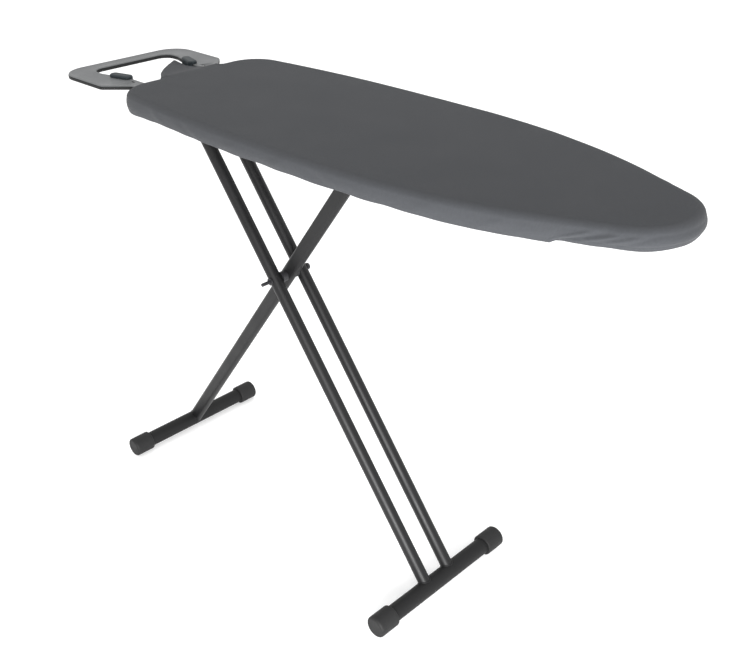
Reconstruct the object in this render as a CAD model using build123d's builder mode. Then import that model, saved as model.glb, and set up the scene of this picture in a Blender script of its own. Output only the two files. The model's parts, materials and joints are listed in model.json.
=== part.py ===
"""Folding ironing board: padded board, stamped iron rest, twin-tube leg and single oval leg.

Row frame: X runs from the heel (negative) to the nose, Y to the left, Z up, floor at Z = 0.
The X origin is midway between the iron rest's outer end and the nose. Millimetres.
"""

import os
from math import cos, radians, sin

from build123d import *

os.makedirs("parts", exist_ok=True)

# Board outline
BOARD_LENGTH = 1100.0
REST_REACH = 250.0
HEEL_X = -(BOARD_LENGTH + REST_REACH) / 2 + REST_REACH
NOSE_X = HEEL_X + BOARD_LENGTH
HEEL_CORNER_R = 73.0
HEEL_FLAT = 103.0
HEEL_CORNER_SWEEP = 82.6
NOSE_R = 96.0
NOSE_SWEEP = 67.8
SIDE_POINTS = ((330.0, 195.2), (620.0, 192.5), (820.0, 166.5), (960.0, 122.0))

# Board layers, from the floor
TOP_Z = 915.0
COVER_T = 1.5
SKIRT_DEPTH = 31.0
SKIRT_Z = TOP_Z - SKIRT_DEPTH
HEM_WIDTH = 27.0
PAD_TOP_Z = TOP_Z - COVER_T - 0.2
PANEL_TOP_Z = 908.0
PANEL_T = 0.8
PANEL_Z = PANEL_TOP_Z - PANEL_T
RIM_Z = SKIRT_Z + COVER_T + 0.2
RIM_T = 1.5
RIM_LIP = 10.0
SHELL_INSET = 2.0

# Iron rest, a stamped plate with turned-down edges
REST_TOP_Z = 897.0
REST_T = 1.5
REST_DEPTH = 8.0
REST_HALF = 147.0
REST_WINDOW_HALF = 92.0
REST_END_RAIL = 39.0
TONGUE_IN = 73.0
TONGUE_OUT = 104.0
TONGUE_END_X = HEEL_X + 92.0

# Legs
PIVOT_Z = 870.0
CROSS_X = HEEL_X + 270.5
CROSS_Z = 558.6
LEG_ANGLE = 37.256
CAP_R = 21.75
ARM = (PIVOT_Z - CROSS_Z) / cos(radians(LEG_ANGLE))
LEG_LENGTH = (PIVOT_Z - CAP_R) / cos(radians(LEG_ANGLE))
PIVOT_X = CROSS_X - ARM * sin(radians(LEG_ANGLE))
SLIDER_X = CROSS_X + ARM * sin(radians(LEG_ANGLE))
FRONT_FOOT_X = PIVOT_X + LEG_LENGTH * sin(radians(LEG_ANGLE))
REAR_FOOT_X = SLIDER_X - LEG_LENGTH * sin(radians(LEG_ANGLE))
SLIDE_TRAVEL = 307.5
TWIN_Y = 33.0
TWIN_R = 12.5
TUBE_WALL = 1.5
OVAL_WIDE = 32.0
OVAL_THICK = 16.0
LEG_HEAD = 14.0
OVAL_HEAD = 17.0

# Feet
BAR_R = 17.0
FOOT_HALF = 180.0
CAP_LENGTH = 46.0
CAP_FLOOR = 5.0
CAP_END_SOFT = 5.0
CAP_MOUTH_SOFT = 2.2

# Pins
PIN_R = 5.0
BOLT_R = 4.0
RUNNING = 0.05
BOLT_END_Y = 51.0
PEG_R = 3.5
PEG_TIP_Y = -68.0
PEG_ROOT_Y = -48.5
PEG_CHAMFER = 1.0

# Slide rails
RAIL_HEEL_GAP = 14.5
RAIL_START_X = HEEL_X + RAIL_HEEL_GAP
RAIL_SPARE = 60.0
RAIL_END_X = SLIDER_X + SLIDE_TRAVEL + RAIL_SPARE
RAIL_OUT = 68.0
RAIL_IN = 50.0
RAIL_T = 1.5
RAIL_FLANGE = 14.0
CHANNEL_HALF = 10.0
NOTCH_PITCH = 22.0
NOTCH_COUNT = 9
NOTCH_WIDTH = 8.0
NOTCH_DEPTH = 9.0

# Height lever
LOCK_ROD_R = 3.0
LOCK_ROD_X = SLIDER_X + 36.0
LOCK_ROD_Z = PIVOT_Z - CHANNEL_HALF + LOCK_ROD_R + 0.4
LEVER_IN = 12.0
LEVER_T = 2.5
LEVER_END_X = SLIDER_X + 112.0

SIDES = (("right", -1), ("left", 1))


def save(builder, name):
    builder.part.label = name
    export_step(builder.part, f"parts/{name}.step")


def across(side, inner, outer):
    """The lower and the upper Y of a span from inner to outer on one side of the centre line."""
    return sorted((side * inner, side * outer))


def board_face(height, inset):
    """The board's plan outline at a height, moved inwards by inset."""
    corner_x = HEEL_X + HEEL_CORNER_R
    nose_x = NOSE_X - NOSE_R
    lean = radians(90.0 - HEEL_CORNER_SWEEP)
    nose = radians(NOSE_SWEEP)
    corner_end = (corner_x - HEEL_CORNER_R * sin(lean), HEEL_FLAT + HEEL_CORNER_R * cos(lean))
    nose_start = (nose_x + NOSE_R * cos(nose), NOSE_R * sin(nose))
    middle = [(HEEL_X + x, y) for x, y in SIDE_POINTS]
    with BuildSketch(Plane.XY.offset(height)) as face:
        with BuildLine():
            Line((HEEL_X, 0), (HEEL_X, HEEL_FLAT))
            CenterArc((corner_x, HEEL_FLAT), HEEL_CORNER_R, 180, -HEEL_CORNER_SWEEP)
            start, heading = corner_end, (cos(lean), sin(lean))
            for end in (*middle, nose_start):
                arc = TangentArc(start, end, tangent=heading)
                start, heading = end, arc % 1
            CenterArc((nose_x, 0), NOSE_R, NOSE_SWEEP, -NOSE_SWEEP)
            mirror(about=Plane.XZ)
        make_face()
        if inset:
            offset(amount=-inset)
    return face.sketch


def board_slab(low, high, inset, mode=Mode.ADD):
    """A slab of the board's outline between two heights."""
    extrude(board_face(low, inset), amount=high - low, mode=mode)


def box_between(low, high, mode=Mode.ADD):
    """A box given by its lowest and highest corners."""
    middle = [(a + b) / 2 for a, b in zip(low, high)]
    size = [b - a for a, b in zip(low, high)]
    with Locations(tuple(middle)):
        Box(*size, mode=mode)


def rod_y(x, z, radius, low, high, mode=Mode.ADD):
    """A rod along Y from low to high."""
    with BuildSketch(Plane(origin=(x, low, z), x_dir=(1, 0, 0), z_dir=(0, 1, 0))) as disc:
        Circle(radius)
    extrude(disc.sketch, amount=high - low, mode=mode)


def leg_plane(x, y, z, lean, back=0.0):
    """Section plane of a leg whose top is at x, y, z: it looks down the leg, back above the top.

    lean is +1 for a leg that goes down towards the nose and -1 towards the heel.
    """
    down = Vector(lean * sin(radians(LEG_ANGLE)), 0, -cos(radians(LEG_ANGLE)))
    return Plane(origin=Vector(x, y, z) - down * back, x_dir=(0, 1, 0), z_dir=down)


# ---- Board ----------------------------------------------------------------------------------

SLOT_LOW = SKIRT_Z - 1.0
SLOT_HIGH = REST_TOP_Z + 1.0
TONGUE_ROOM = 1.5


def cut_tongue_slots(depth):
    """Open the heel edge, for depth inwards, where the iron rest's tongues pass."""
    for _, side in SIDES:
        ends = across(side, TONGUE_IN - TONGUE_ROOM, TONGUE_OUT + TONGUE_ROOM)
        box_between(
            (HEEL_X - 1.0, ends[0], SLOT_LOW), (HEEL_X + depth, ends[1], SLOT_HIGH), Mode.SUBTRACT
        )


with BuildPart() as cover:
    board_slab(SKIRT_Z, TOP_Z, 0.0)
    board_slab(SKIRT_Z + COVER_T, TOP_Z - COVER_T, COVER_T, Mode.SUBTRACT)
    board_slab(SKIRT_Z, SKIRT_Z + COVER_T, HEM_WIDTH, Mode.SUBTRACT)
    cut_tongue_slots(HEM_WIDTH + 1.0)
    # The hem stops short of the rails and the twin leg's head at the middle of the heel.
    box_between(
        (HEEL_X + COVER_T, -TONGUE_IN, SKIRT_Z - 1.0),
        (HEEL_X + HEM_WIDTH + 1.0, TONGUE_IN, SKIRT_Z + COVER_T),
        Mode.SUBTRACT,
    )
save(cover, "cover")

with BuildPart() as felt_pad:
    board_slab(PANEL_TOP_Z, PAD_TOP_Z, SHELL_INSET)
save(felt_pad, "felt_pad")

STEAM_HOLE_R = 11.0
STEAM_STEP_X = 60.0
STEAM_HEEL_GAP = 60.0
STEAM_STAGGER = STEAM_STEP_X / 2
STEAM_NOSE_GAP = 110.0
STEAM_NOSE_TAPER = 2.1
STEAM_ROWS = (-28.0, 28.0, -92.0, 92.0, -136.0, 136.0)
with BuildPart() as mesh_panel:
    board_slab(PANEL_Z, PANEL_TOP_Z, SHELL_INSET)
    for row, y in enumerate(STEAM_ROWS):
        reach = NOSE_X - STEAM_NOSE_GAP - STEAM_NOSE_TAPER * abs(y)
        start = HEEL_X + STEAM_HEEL_GAP + STEAM_STAGGER * (row // 2 % 2)
        count = int((reach - start) // STEAM_STEP_X) + 1
        with Locations(*[(start + i * STEAM_STEP_X, y, PANEL_Z) for i in range(count)]):
            Hole(STEAM_HOLE_R)
save(mesh_panel, "mesh_panel")

with BuildPart() as rim:
    board_slab(RIM_Z, PANEL_Z, SHELL_INSET)
    board_slab(RIM_Z + RIM_T, PANEL_Z, SHELL_INSET + RIM_T, Mode.SUBTRACT)
    board_slab(RIM_Z, RIM_Z + RIM_T, SHELL_INSET + RIM_LIP, Mode.SUBTRACT)
    cut_tongue_slots(SHELL_INSET + RIM_LIP + 1.0)
save(rim, "rim")

# Cross stays: T-shaped strips from each rail out to the rim, under the panel.
STAY_WIDE = 18.0
STAY_DEEP = 11.0
STAY_T = 1.5
STAY_REACH = 150.0
STAY_X = (HEEL_X + 130.0, HEEL_X + 400.0, HEEL_X + 660.0)
for number, stay_x in enumerate(STAY_X, start=1):
    for side_name, side in SIDES:
        ends = across(side, RAIL_OUT, RAIL_OUT + STAY_REACH)
        with BuildPart() as stay:
            box_between(
                (stay_x - STAY_WIDE / 2, ends[0], PANEL_Z - STAY_T),
                (stay_x + STAY_WIDE / 2, ends[1], PANEL_Z),
            )
            box_between(
                (stay_x - STAY_T / 2, ends[0], PANEL_Z - STAY_DEEP),
                (stay_x + STAY_T / 2, ends[1], PANEL_Z - STAY_T),
            )
            board_slab(PANEL_Z - STAY_DEEP, PANEL_Z, SHELL_INSET + RIM_T, Mode.INTERSECT)
        save(stay, f"stay_{number}_{side_name}")

# Slide rails: an upright web with a channel, open to the middle, that guides the slider shoes.
CHANNEL_LOW = PIVOT_Z - CHANNEL_HALF
CHANNEL_HIGH = PIVOT_Z + CHANNEL_HALF
for side_name, side in SIDES:
    with BuildPart() as rail:
        for low, high, inner in (
            (CHANNEL_LOW - RAIL_T, PANEL_Z, RAIL_OUT - RAIL_T),
            (CHANNEL_LOW - RAIL_T, CHANNEL_LOW, RAIL_IN),
            (CHANNEL_HIGH, CHANNEL_HIGH + RAIL_T, RAIL_IN),
            (PANEL_Z - RAIL_T, PANEL_Z, RAIL_OUT - RAIL_FLANGE),
        ):
            ends = across(side, inner, RAIL_OUT)
            box_between((RAIL_START_X, ends[0], low), (RAIL_END_X, ends[1], high))
        ends = across(side, RAIL_IN - 1.0, RAIL_IN + NOTCH_DEPTH)
        for notch in range(NOTCH_COUNT):
            x = LOCK_ROD_X + notch * NOTCH_PITCH
            box_between(
                (x - NOTCH_WIDTH / 2, ends[0], CHANNEL_LOW - RAIL_T - 1.0),
                (x + NOTCH_WIDTH / 2, ends[1], CHANNEL_LOW + 0.1),
                Mode.SUBTRACT,
            )
        ends = across(side, RAIL_OUT - RAIL_T - 1.0, RAIL_OUT + 1.0)
        rod_y(PIVOT_X, PIVOT_Z, PIN_R, ends[0], ends[1], Mode.SUBTRACT)
    save(rail, f"rail_{side_name}")

# Ties hold the two rails together at their ends.
TIE_LONG = 16.0
TIE_DEEP = 9.0
TIE_REAR_GAP = 40.0
TIE_FRONT_GAP = 6.0
for tie_name, tie_x in (
    ("rear", PIVOT_X + TIE_REAR_GAP),
    ("front", RAIL_END_X - TIE_LONG - TIE_FRONT_GAP),
):
    with BuildPart() as tie:
        box_between(
            (tie_x, -(RAIL_OUT - RAIL_T), PANEL_Z - RAIL_T - TIE_DEEP),
            (tie_x + TIE_LONG, RAIL_OUT - RAIL_T, PANEL_Z - RAIL_T),
        )
        box_between(
            (tie_x + RAIL_T, -(RAIL_OUT - RAIL_T), PANEL_Z - RAIL_T - TIE_DEEP),
            (tie_x + TIE_LONG - RAIL_T, RAIL_OUT - RAIL_T, PANEL_Z - 2 * RAIL_T),
            Mode.SUBTRACT,
        )
    save(tie, f"rail_tie_{tie_name}")

PIN_HEAD_T = 3.0
PIN_HEAD_R = PIN_R + 3.5
PIN_HEAD_SOFT = 1.2
with BuildPart() as pivot_pin:
    rod_y(PIVOT_X, PIVOT_Z, PIN_R, -RAIL_OUT - 2.0, RAIL_OUT + 2.0)
    for _, side in SIDES:
        ends = across(side, RAIL_OUT, RAIL_OUT + PIN_HEAD_T)
        rod_y(PIVOT_X, PIVOT_Z, PIN_HEAD_R, ends[0], ends[1])
    fillet(pivot_pin.edges().filter_by(GeomType.CIRCLE).group_by(Axis.Y)[0], PIN_HEAD_SOFT)
    fillet(pivot_pin.edges().filter_by(GeomType.CIRCLE).group_by(Axis.Y)[-1], PIN_HEAD_SOFT)
save(pivot_pin, "pivot_pin")

SPACER_R = 8.0
SPACER_GAP = 0.5
for side_name, side in SIDES:
    ends = across(side, TWIN_Y + TWIN_R + SPACER_GAP, RAIL_OUT - RAIL_T)
    with BuildPart() as spacer:
        rod_y(PIVOT_X, PIVOT_Z, SPACER_R, ends[0], ends[1])
        rod_y(PIVOT_X, PIVOT_Z, PIN_R, ends[0], ends[1], Mode.SUBTRACT)
    save(spacer, f"pivot_spacer_{side_name}")

# ---- Iron rest ------------------------------------------------------------------------------

REST_END_X = HEEL_X - REST_REACH
REST_CORNER_R = 52.0
SHOULDER_X = HEEL_X - 92.0
SHOULDER_HALF = REST_HALF - 2.0
NECK_X = HEEL_X - 46.0
WINDOW_END_X = REST_END_X + REST_END_RAIL
WINDOW_CORNER_R = 24.0
TAPER_START_X = HEEL_X - 172.0
TAPER_END_X = HEEL_X - 100.0
SOFT_R = 12.0


def rest_face(inset):
    """Plan of the iron rest: an end rail, two arms and two tongues that go in under the heel.

    The window narrows towards the heel, from the arms' width to the tongues'.
    """
    with BuildSketch(Plane.XY.offset(REST_TOP_Z - REST_DEPTH)) as face:
        with BuildLine():
            Polyline(
                (REST_END_X, 0), (REST_END_X, REST_HALF), (SHOULDER_X, SHOULDER_HALF),
                (NECK_X, TONGUE_OUT), (TONGUE_END_X, TONGUE_OUT), (TONGUE_END_X, TONGUE_IN),
                (TAPER_END_X, TONGUE_IN), (TAPER_START_X, REST_WINDOW_HALF),
                (WINDOW_END_X, REST_WINDOW_HALF), (WINDOW_END_X, 0), close=True,
            )
        make_face()
        for corner, radius in (
            ((REST_END_X, REST_HALF), REST_CORNER_R),
            ((WINDOW_END_X, REST_WINDOW_HALF), WINDOW_CORNER_R),
            ((SHOULDER_X, SHOULDER_HALF), SOFT_R),
            ((NECK_X, TONGUE_OUT), SOFT_R),
            ((TAPER_END_X, TONGUE_IN), SOFT_R),
            ((TAPER_START_X, REST_WINDOW_HALF), SOFT_R),
        ):
            fillet(face.vertices().sort_by_distance(corner)[0], radius)
        mirror(about=Plane.XZ)
        if inset:
            offset(amount=-inset)
    return face.sketch


SLOT_X = HEEL_X - 68.5
SLOT_Y = TONGUE_IN + 12.0
SLOT_LONG = 10.0
SLOT_WIDE = 4.0
RIVET_R = 2.5
RIVET_HEAD_R = 4.5
RIVET_X = (TONGUE_END_X - 58.0, TONGUE_END_X - 14.0)
RIVET_Y = (TONGUE_IN + TONGUE_OUT) / 2

with BuildPart() as iron_rest:
    extrude(rest_face(0.0), amount=REST_DEPTH)
    extrude(rest_face(REST_T), amount=REST_DEPTH - REST_T, mode=Mode.SUBTRACT)
    with BuildSketch(Plane.XY.offset(REST_TOP_Z - REST_DEPTH)):
        with Locations((SLOT_X, SLOT_Y), (SLOT_X, -SLOT_Y)):
            SlotOverall(SLOT_LONG, SLOT_WIDE)
    extrude(amount=REST_DEPTH, mode=Mode.SUBTRACT)
    with Locations(*[(x, side * RIVET_Y, REST_TOP_Z) for x in RIVET_X for side in (-1, 1)]):
        Hole(RIVET_R)
save(iron_rest, "iron_rest")

# Silicone pads clipped over the inner edges of the arms, in line with the window's taper.
REST_PAD_LONG = 54.0
REST_PAD_WIDE = 20.0
REST_PAD_X = HEEL_X - 115.0
REST_PAD_Y = 82.5
REST_PAD_ANGLE = 15.0
REST_PAD_ABOVE = 6.0
REST_PAD_BELOW = 4.0
REST_PAD_TOP_SOFT = 3.5
REST_PAD_LOW_SOFT = 2.0
for side_name, side in SIDES:
    with BuildPart() as rest_pad:
        with BuildSketch(Plane.XY.offset(REST_TOP_Z - REST_DEPTH - REST_PAD_BELOW)):
            with Locations((REST_PAD_X, side * REST_PAD_Y)):
                SlotOverall(REST_PAD_LONG, REST_PAD_WIDE, rotation=-side * REST_PAD_ANGLE)
        extrude(amount=REST_DEPTH + REST_PAD_ABOVE + REST_PAD_BELOW)
        fillet(rest_pad.faces().sort_by(Axis.Z)[-1].edges(), REST_PAD_TOP_SOFT)
        fillet(rest_pad.faces().sort_by(Axis.Z)[0].edges(), REST_PAD_LOW_SOFT)
        add(iron_rest.part, mode=Mode.SUBTRACT)
    save(rest_pad, f"rest_pad_{side_name}")

# Hat brackets that carry the tongues under the panel, with their rivets.
BRACKET_T = 1.5
BRACKET_INSET = 2.0
BRACKET_FOOT = 11.0
for side_name, side in SIDES:
    ends = across(side, TONGUE_IN + BRACKET_INSET, TONGUE_OUT - BRACKET_INSET)
    with BuildPart() as bracket:
        for x in RIVET_X:
            box_between(
                (x - BRACKET_FOOT, ends[0], REST_TOP_Z),
                (x + BRACKET_FOOT, ends[1], REST_TOP_Z + BRACKET_T),
            )
        inner_x = (RIVET_X[0] + BRACKET_FOOT, RIVET_X[1] - BRACKET_FOOT)
        for x in (inner_x[0], inner_x[1] - BRACKET_T):
            box_between((x, ends[0], REST_TOP_Z), (x + BRACKET_T, ends[1], PANEL_Z))
        box_between(
            (inner_x[0], ends[0], PANEL_Z - BRACKET_T), (inner_x[1], ends[1], PANEL_Z)
        )
        with Locations(*[(x, side * RIVET_Y, REST_TOP_Z + BRACKET_T) for x in RIVET_X]):
            Hole(RIVET_R)
    save(bracket, f"rest_bracket_{side_name}")

RIVET_HEAD_T = 2.0
with BuildPart() as rest_rivets:
    for low, height, radius in (
        (REST_TOP_Z - REST_T, REST_T + BRACKET_T, RIVET_R),
        (REST_TOP_Z + BRACKET_T, RIVET_HEAD_T, RIVET_HEAD_R),
        (REST_TOP_Z - REST_T - RIVET_HEAD_T, RIVET_HEAD_T, RIVET_HEAD_R),
    ):
        with BuildSketch(Plane.XY.offset(low)):
            with Locations(*[(x, side * RIVET_Y) for x in RIVET_X for _, side in SIDES]):
                Circle(radius)
        extrude(amount=height)
save(rest_rivets, "rest_rivets")

# ---- Feet -----------------------------------------------------------------------------------


def make_foot(foot_x, name):
    """A cross bar with a rubber cap on each end; the caps stand on the floor."""
    bar_half = FOOT_HALF - CAP_FLOOR
    with BuildPart() as bar:
        rod_y(foot_x, CAP_R, BAR_R, -bar_half, bar_half)
        rod_y(foot_x, CAP_R, BAR_R - TUBE_WALL, -bar_half, bar_half, Mode.SUBTRACT)
    save(bar, f"{name}_foot_bar")
    for side_name, side in SIDES:
        ends = across(side, FOOT_HALF - CAP_LENGTH, FOOT_HALF)
        with BuildPart() as cap:
            rod_y(foot_x, CAP_R, CAP_R, ends[0], ends[1])
            outer_end, inner_end = (-1, 0) if side > 0 else (0, -1)
            fillet(cap.edges().filter_by(GeomType.CIRCLE).group_by(Axis.Y)[outer_end], CAP_END_SOFT)
            fillet(cap.edges().filter_by(GeomType.CIRCLE).group_by(Axis.Y)[inner_end], CAP_MOUTH_SOFT)
            ends = across(side, FOOT_HALF - CAP_LENGTH - 1.0, bar_half)
            rod_y(foot_x, CAP_R, BAR_R, ends[0], ends[1], Mode.SUBTRACT)
        save(cap, f"{name}_foot_cap_{side_name}")


make_foot(FRONT_FOOT_X, "front")
make_foot(REAR_FOOT_X, "rear")

# ---- Twin leg -------------------------------------------------------------------------------

PLUG_CAP = 3.0
PLUG_SPIGOT = 5.5
for side_name, side in SIDES:
    y = side * TWIN_Y
    with BuildPart() as tube:
        with BuildSketch(leg_plane(PIVOT_X, y, PIVOT_Z, 1, LEG_HEAD)):
            Circle(TWIN_R)
            Circle(TWIN_R - TUBE_WALL, mode=Mode.SUBTRACT)
        extrude(amount=LEG_HEAD + LEG_LENGTH)
        rod_y(FRONT_FOOT_X, CAP_R, BAR_R, -FOOT_HALF, FOOT_HALF, Mode.SUBTRACT)
        rod_y(PIVOT_X, PIVOT_Z, PIN_R + RUNNING, y - TWIN_R - 1, y + TWIN_R + 1, Mode.SUBTRACT)
        rod_y(CROSS_X, CROSS_Z, BOLT_R, y - TWIN_R - 1, y + TWIN_R + 1, Mode.SUBTRACT)
    save(tube, f"twin_tube_{side_name}")
    with BuildPart() as plug:
        with BuildSketch(leg_plane(PIVOT_X, y, PIVOT_Z, 1, LEG_HEAD + PLUG_CAP)):
            Circle(TWIN_R)
        extrude(amount=PLUG_CAP)
        with BuildSketch(leg_plane(PIVOT_X, y, PIVOT_Z, 1, LEG_HEAD)):
            Circle(TWIN_R - TUBE_WALL)
        extrude(amount=PLUG_SPIGOT)
    save(plug, f"twin_plug_{side_name}")

with BuildPart() as cross_bolt:
    rod_y(CROSS_X, CROSS_Z, BOLT_R, PEG_ROOT_Y, BOLT_END_Y)
    rod_y(CROSS_X, CROSS_Z, PEG_R, PEG_TIP_Y, PEG_ROOT_Y)
    chamfer(cross_bolt.edges().filter_by(GeomType.CIRCLE).group_by(Axis.Y)[0], PEG_CHAMFER)
save(cross_bolt, "cross_bolt")

WASHER_R = 7.5
WASHER_T = 2.5
TUBE_FACE = TWIN_Y + TWIN_R
with BuildPart() as cross_washer:
    rod_y(CROSS_X, CROSS_Z, WASHER_R, -TUBE_FACE - WASHER_T, -TUBE_FACE)
    rod_y(CROSS_X, CROSS_Z, BOLT_R, -TUBE_FACE - WASHER_T, -TUBE_FACE, Mode.SUBTRACT)
save(cross_washer, "cross_washer")

NUT_R = 7.0
NUT_LENGTH = 8.0
NUT_DOME = 3.5
with BuildPart() as cap_nut:
    rod_y(CROSS_X, CROSS_Z, NUT_R, TUBE_FACE, TUBE_FACE + NUT_LENGTH)
    fillet(cap_nut.edges().filter_by(GeomType.CIRCLE).group_by(Axis.Y)[-1], NUT_DOME)
    rod_y(CROSS_X, CROSS_Z, BOLT_R, TUBE_FACE, BOLT_END_Y, Mode.SUBTRACT)
save(cap_nut, "cap_nut")

BUSH_R = 11.0
BUSH_GAP = 0.4
for side_name, side in SIDES:
    ends = across(side, OVAL_THICK / 2 + BUSH_GAP, TWIN_Y - TWIN_R)
    with BuildPart() as bush:
        rod_y(CROSS_X, CROSS_Z, BUSH_R, ends[0], ends[1])
        rod_y(CROSS_X, CROSS_Z, BOLT_R, ends[0], ends[1], Mode.SUBTRACT)
    save(bush, f"cross_bush_{side_name}")

# ---- Single leg -----------------------------------------------------------------------------

SLEEVE_WALL = 2.0
HALF_THICK = OVAL_THICK / 2
with BuildPart() as single_leg:
    with BuildSketch(leg_plane(SLIDER_X, 0, PIVOT_Z, -1, OVAL_HEAD)):
        SlotOverall(OVAL_WIDE, OVAL_THICK, rotation=90)
        SlotOverall(OVAL_WIDE - 2 * TUBE_WALL, OVAL_THICK - 2 * TUBE_WALL, rotation=90,
                    mode=Mode.SUBTRACT)
    extrude(amount=OVAL_HEAD + LEG_LENGTH)
    rod_y(REAR_FOOT_X, CAP_R, BAR_R, -FOOT_HALF, FOOT_HALF, Mode.SUBTRACT)
    for x, z, radius in ((SLIDER_X, PIVOT_Z, PIN_R), (CROSS_X, CROSS_Z, BOLT_R)):
        rod_y(x, z, radius + SLEEVE_WALL, -OVAL_THICK, OVAL_THICK, Mode.SUBTRACT)
save(single_leg, "single_leg_tube")

for name, x, z, radius in (
    ("axle_sleeve", SLIDER_X, PIVOT_Z, PIN_R),
    ("cross_sleeve", CROSS_X, CROSS_Z, BOLT_R),
):
    with BuildPart() as sleeve:
        rod_y(x, z, radius + SLEEVE_WALL, -HALF_THICK, HALF_THICK)
        rod_y(x, z, radius + RUNNING, -HALF_THICK, HALF_THICK, Mode.SUBTRACT)
    save(sleeve, name)

with BuildPart() as single_plug:
    with BuildSketch(leg_plane(SLIDER_X, 0, PIVOT_Z, -1, OVAL_HEAD + PLUG_CAP)):
        SlotOverall(OVAL_WIDE, OVAL_THICK, rotation=90)
    extrude(amount=PLUG_CAP)
    with BuildSketch(leg_plane(SLIDER_X, 0, PIVOT_Z, -1, OVAL_HEAD)):
        SlotOverall(OVAL_WIDE - 2 * TUBE_WALL, OVAL_THICK - 2 * TUBE_WALL, rotation=90)
    extrude(amount=PLUG_SPIGOT)
save(single_plug, "single_plug")

# ---- Slider and height lever ----------------------------------------------------------------

SHOE_HALF = 27.0
SHOE_GAP = 0.5
SHOE_SOFT = 3.0
AXLE_HALF = 62.0
with BuildPart() as slider_axle:
    rod_y(SLIDER_X, PIVOT_Z, PIN_R, -AXLE_HALF, AXLE_HALF)
save(slider_axle, "slider_axle")

for side_name, side in SIDES:
    ends = across(side, RAIL_IN + SHOE_GAP, RAIL_OUT - RAIL_T - SHOE_GAP)
    with BuildPart() as shoe:
        box_between(
            (SLIDER_X - SHOE_HALF, ends[0], CHANNEL_LOW + SHOE_GAP),
            (SLIDER_X + SHOE_HALF, ends[1], CHANNEL_HIGH - SHOE_GAP),
        )
        fillet(shoe.edges().filter_by(Axis.Y), SHOE_SOFT)
        ends = across(side, RAIL_IN, AXLE_HALF)
        rod_y(SLIDER_X, PIVOT_Z, PIN_R, ends[0], ends[1], Mode.SUBTRACT)
    save(shoe, f"slider_shoe_{side_name}")

LEVER_EYE_R = 9.5
LEVER_WEB_X = SLIDER_X + 44.0
LEVER_WEB_Z = PIVOT_Z + 2.0
GRIP_LONG = 52.0
GRIP_HALF = 27.0
GRIP_PAST = 8.0
GRIP_BELOW = 9.0
GRIP_ABOVE = 7.0
GRIP_CORNER_R = 9.0
GRIP_SOFT = 4.0
with BuildPart() as height_lever:
    for _, side in SIDES:
        ends = across(side, LEVER_IN, LEVER_IN + LEVER_T)
        with BuildSketch(Plane(origin=(0, ends[0], 0), x_dir=(1, 0, 0), z_dir=(0, 1, 0))):
            # This plane's own second axis points down.
            with Locations((SLIDER_X, -PIVOT_Z)):
                Circle(LEVER_EYE_R)
            with BuildLine():
                Polyline(
                    (SLIDER_X, -PIVOT_Z + LEVER_EYE_R), (LEVER_END_X, -PIVOT_Z + 5.0),
                    (LEVER_END_X, -LEVER_WEB_Z), (SLIDER_X, -PIVOT_Z - LEVER_EYE_R), close=True,
                )
            make_face()
            with Locations((LOCK_ROD_X, -LOCK_ROD_Z)):
                Circle(LOCK_ROD_R + 2.5)
        extrude(amount=LEVER_T)
        rod_y(SLIDER_X, PIVOT_Z, PIN_R + RUNNING, ends[0] - 1, ends[1] + 1, Mode.SUBTRACT)
    box_between(
        (LEVER_WEB_X, -LEVER_IN, LEVER_WEB_Z - LEVER_T), (LEVER_END_X, LEVER_IN, LEVER_WEB_Z)
    )
    rod_y(LOCK_ROD_X, LOCK_ROD_Z, LOCK_ROD_R, -LEVER_IN - LEVER_T - 1, LEVER_IN + LEVER_T + 1,
          Mode.SUBTRACT)
save(height_lever, "height_lever")

with BuildPart() as lever_grip:
    box_between(
        (LEVER_END_X - GRIP_LONG, -GRIP_HALF, PIVOT_Z - GRIP_BELOW),
        (LEVER_END_X + GRIP_PAST, GRIP_HALF, PIVOT_Z + GRIP_ABOVE),
    )
    fillet(lever_grip.edges().filter_by(Axis.Z), GRIP_CORNER_R)
    fillet(lever_grip.faces().sort_by(Axis.Z)[-1].edges(), GRIP_SOFT)
    fillet(lever_grip.faces().sort_by(Axis.Z)[0].edges(), GRIP_SOFT)
    add(height_lever.part, mode=Mode.SUBTRACT)
save(lever_grip, "lever_grip")

LOCK_ROD_HALF = RAIL_IN + NOTCH_DEPTH - 1.0
with BuildPart() as lock_rod:
    rod_y(LOCK_ROD_X, LOCK_ROD_Z, LOCK_ROD_R, -LOCK_ROD_HALF, LOCK_ROD_HALF)
save(lock_rod, "lock_rod")

# A sleeve round the axle, the outer shape of the lever's torsion spring.
SPRING_R = 7.5
SPRING_START_Y = LEVER_IN + LEVER_T + 0.5
SPRING_END_Y = RAIL_IN - 12.0
with BuildPart() as lever_spring:
    rod_y(SLIDER_X, PIVOT_Z, SPRING_R, SPRING_START_Y, SPRING_END_Y)
    rod_y(SLIDER_X, PIVOT_Z, PIN_R, SPRING_START_Y, SPRING_END_Y, Mode.SUBTRACT)
save(lever_spring, "lever_spring")
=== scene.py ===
"""Looks of the folding ironing board: fabric cover, felt, expanded metal, stamped rest and finishes."""

import json
from math import atan2, cos, exp, pi, radians, sin, tau

import bmesh
import bpy
import numpy as np
from mathutils import Matrix, Vector, noise


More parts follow.
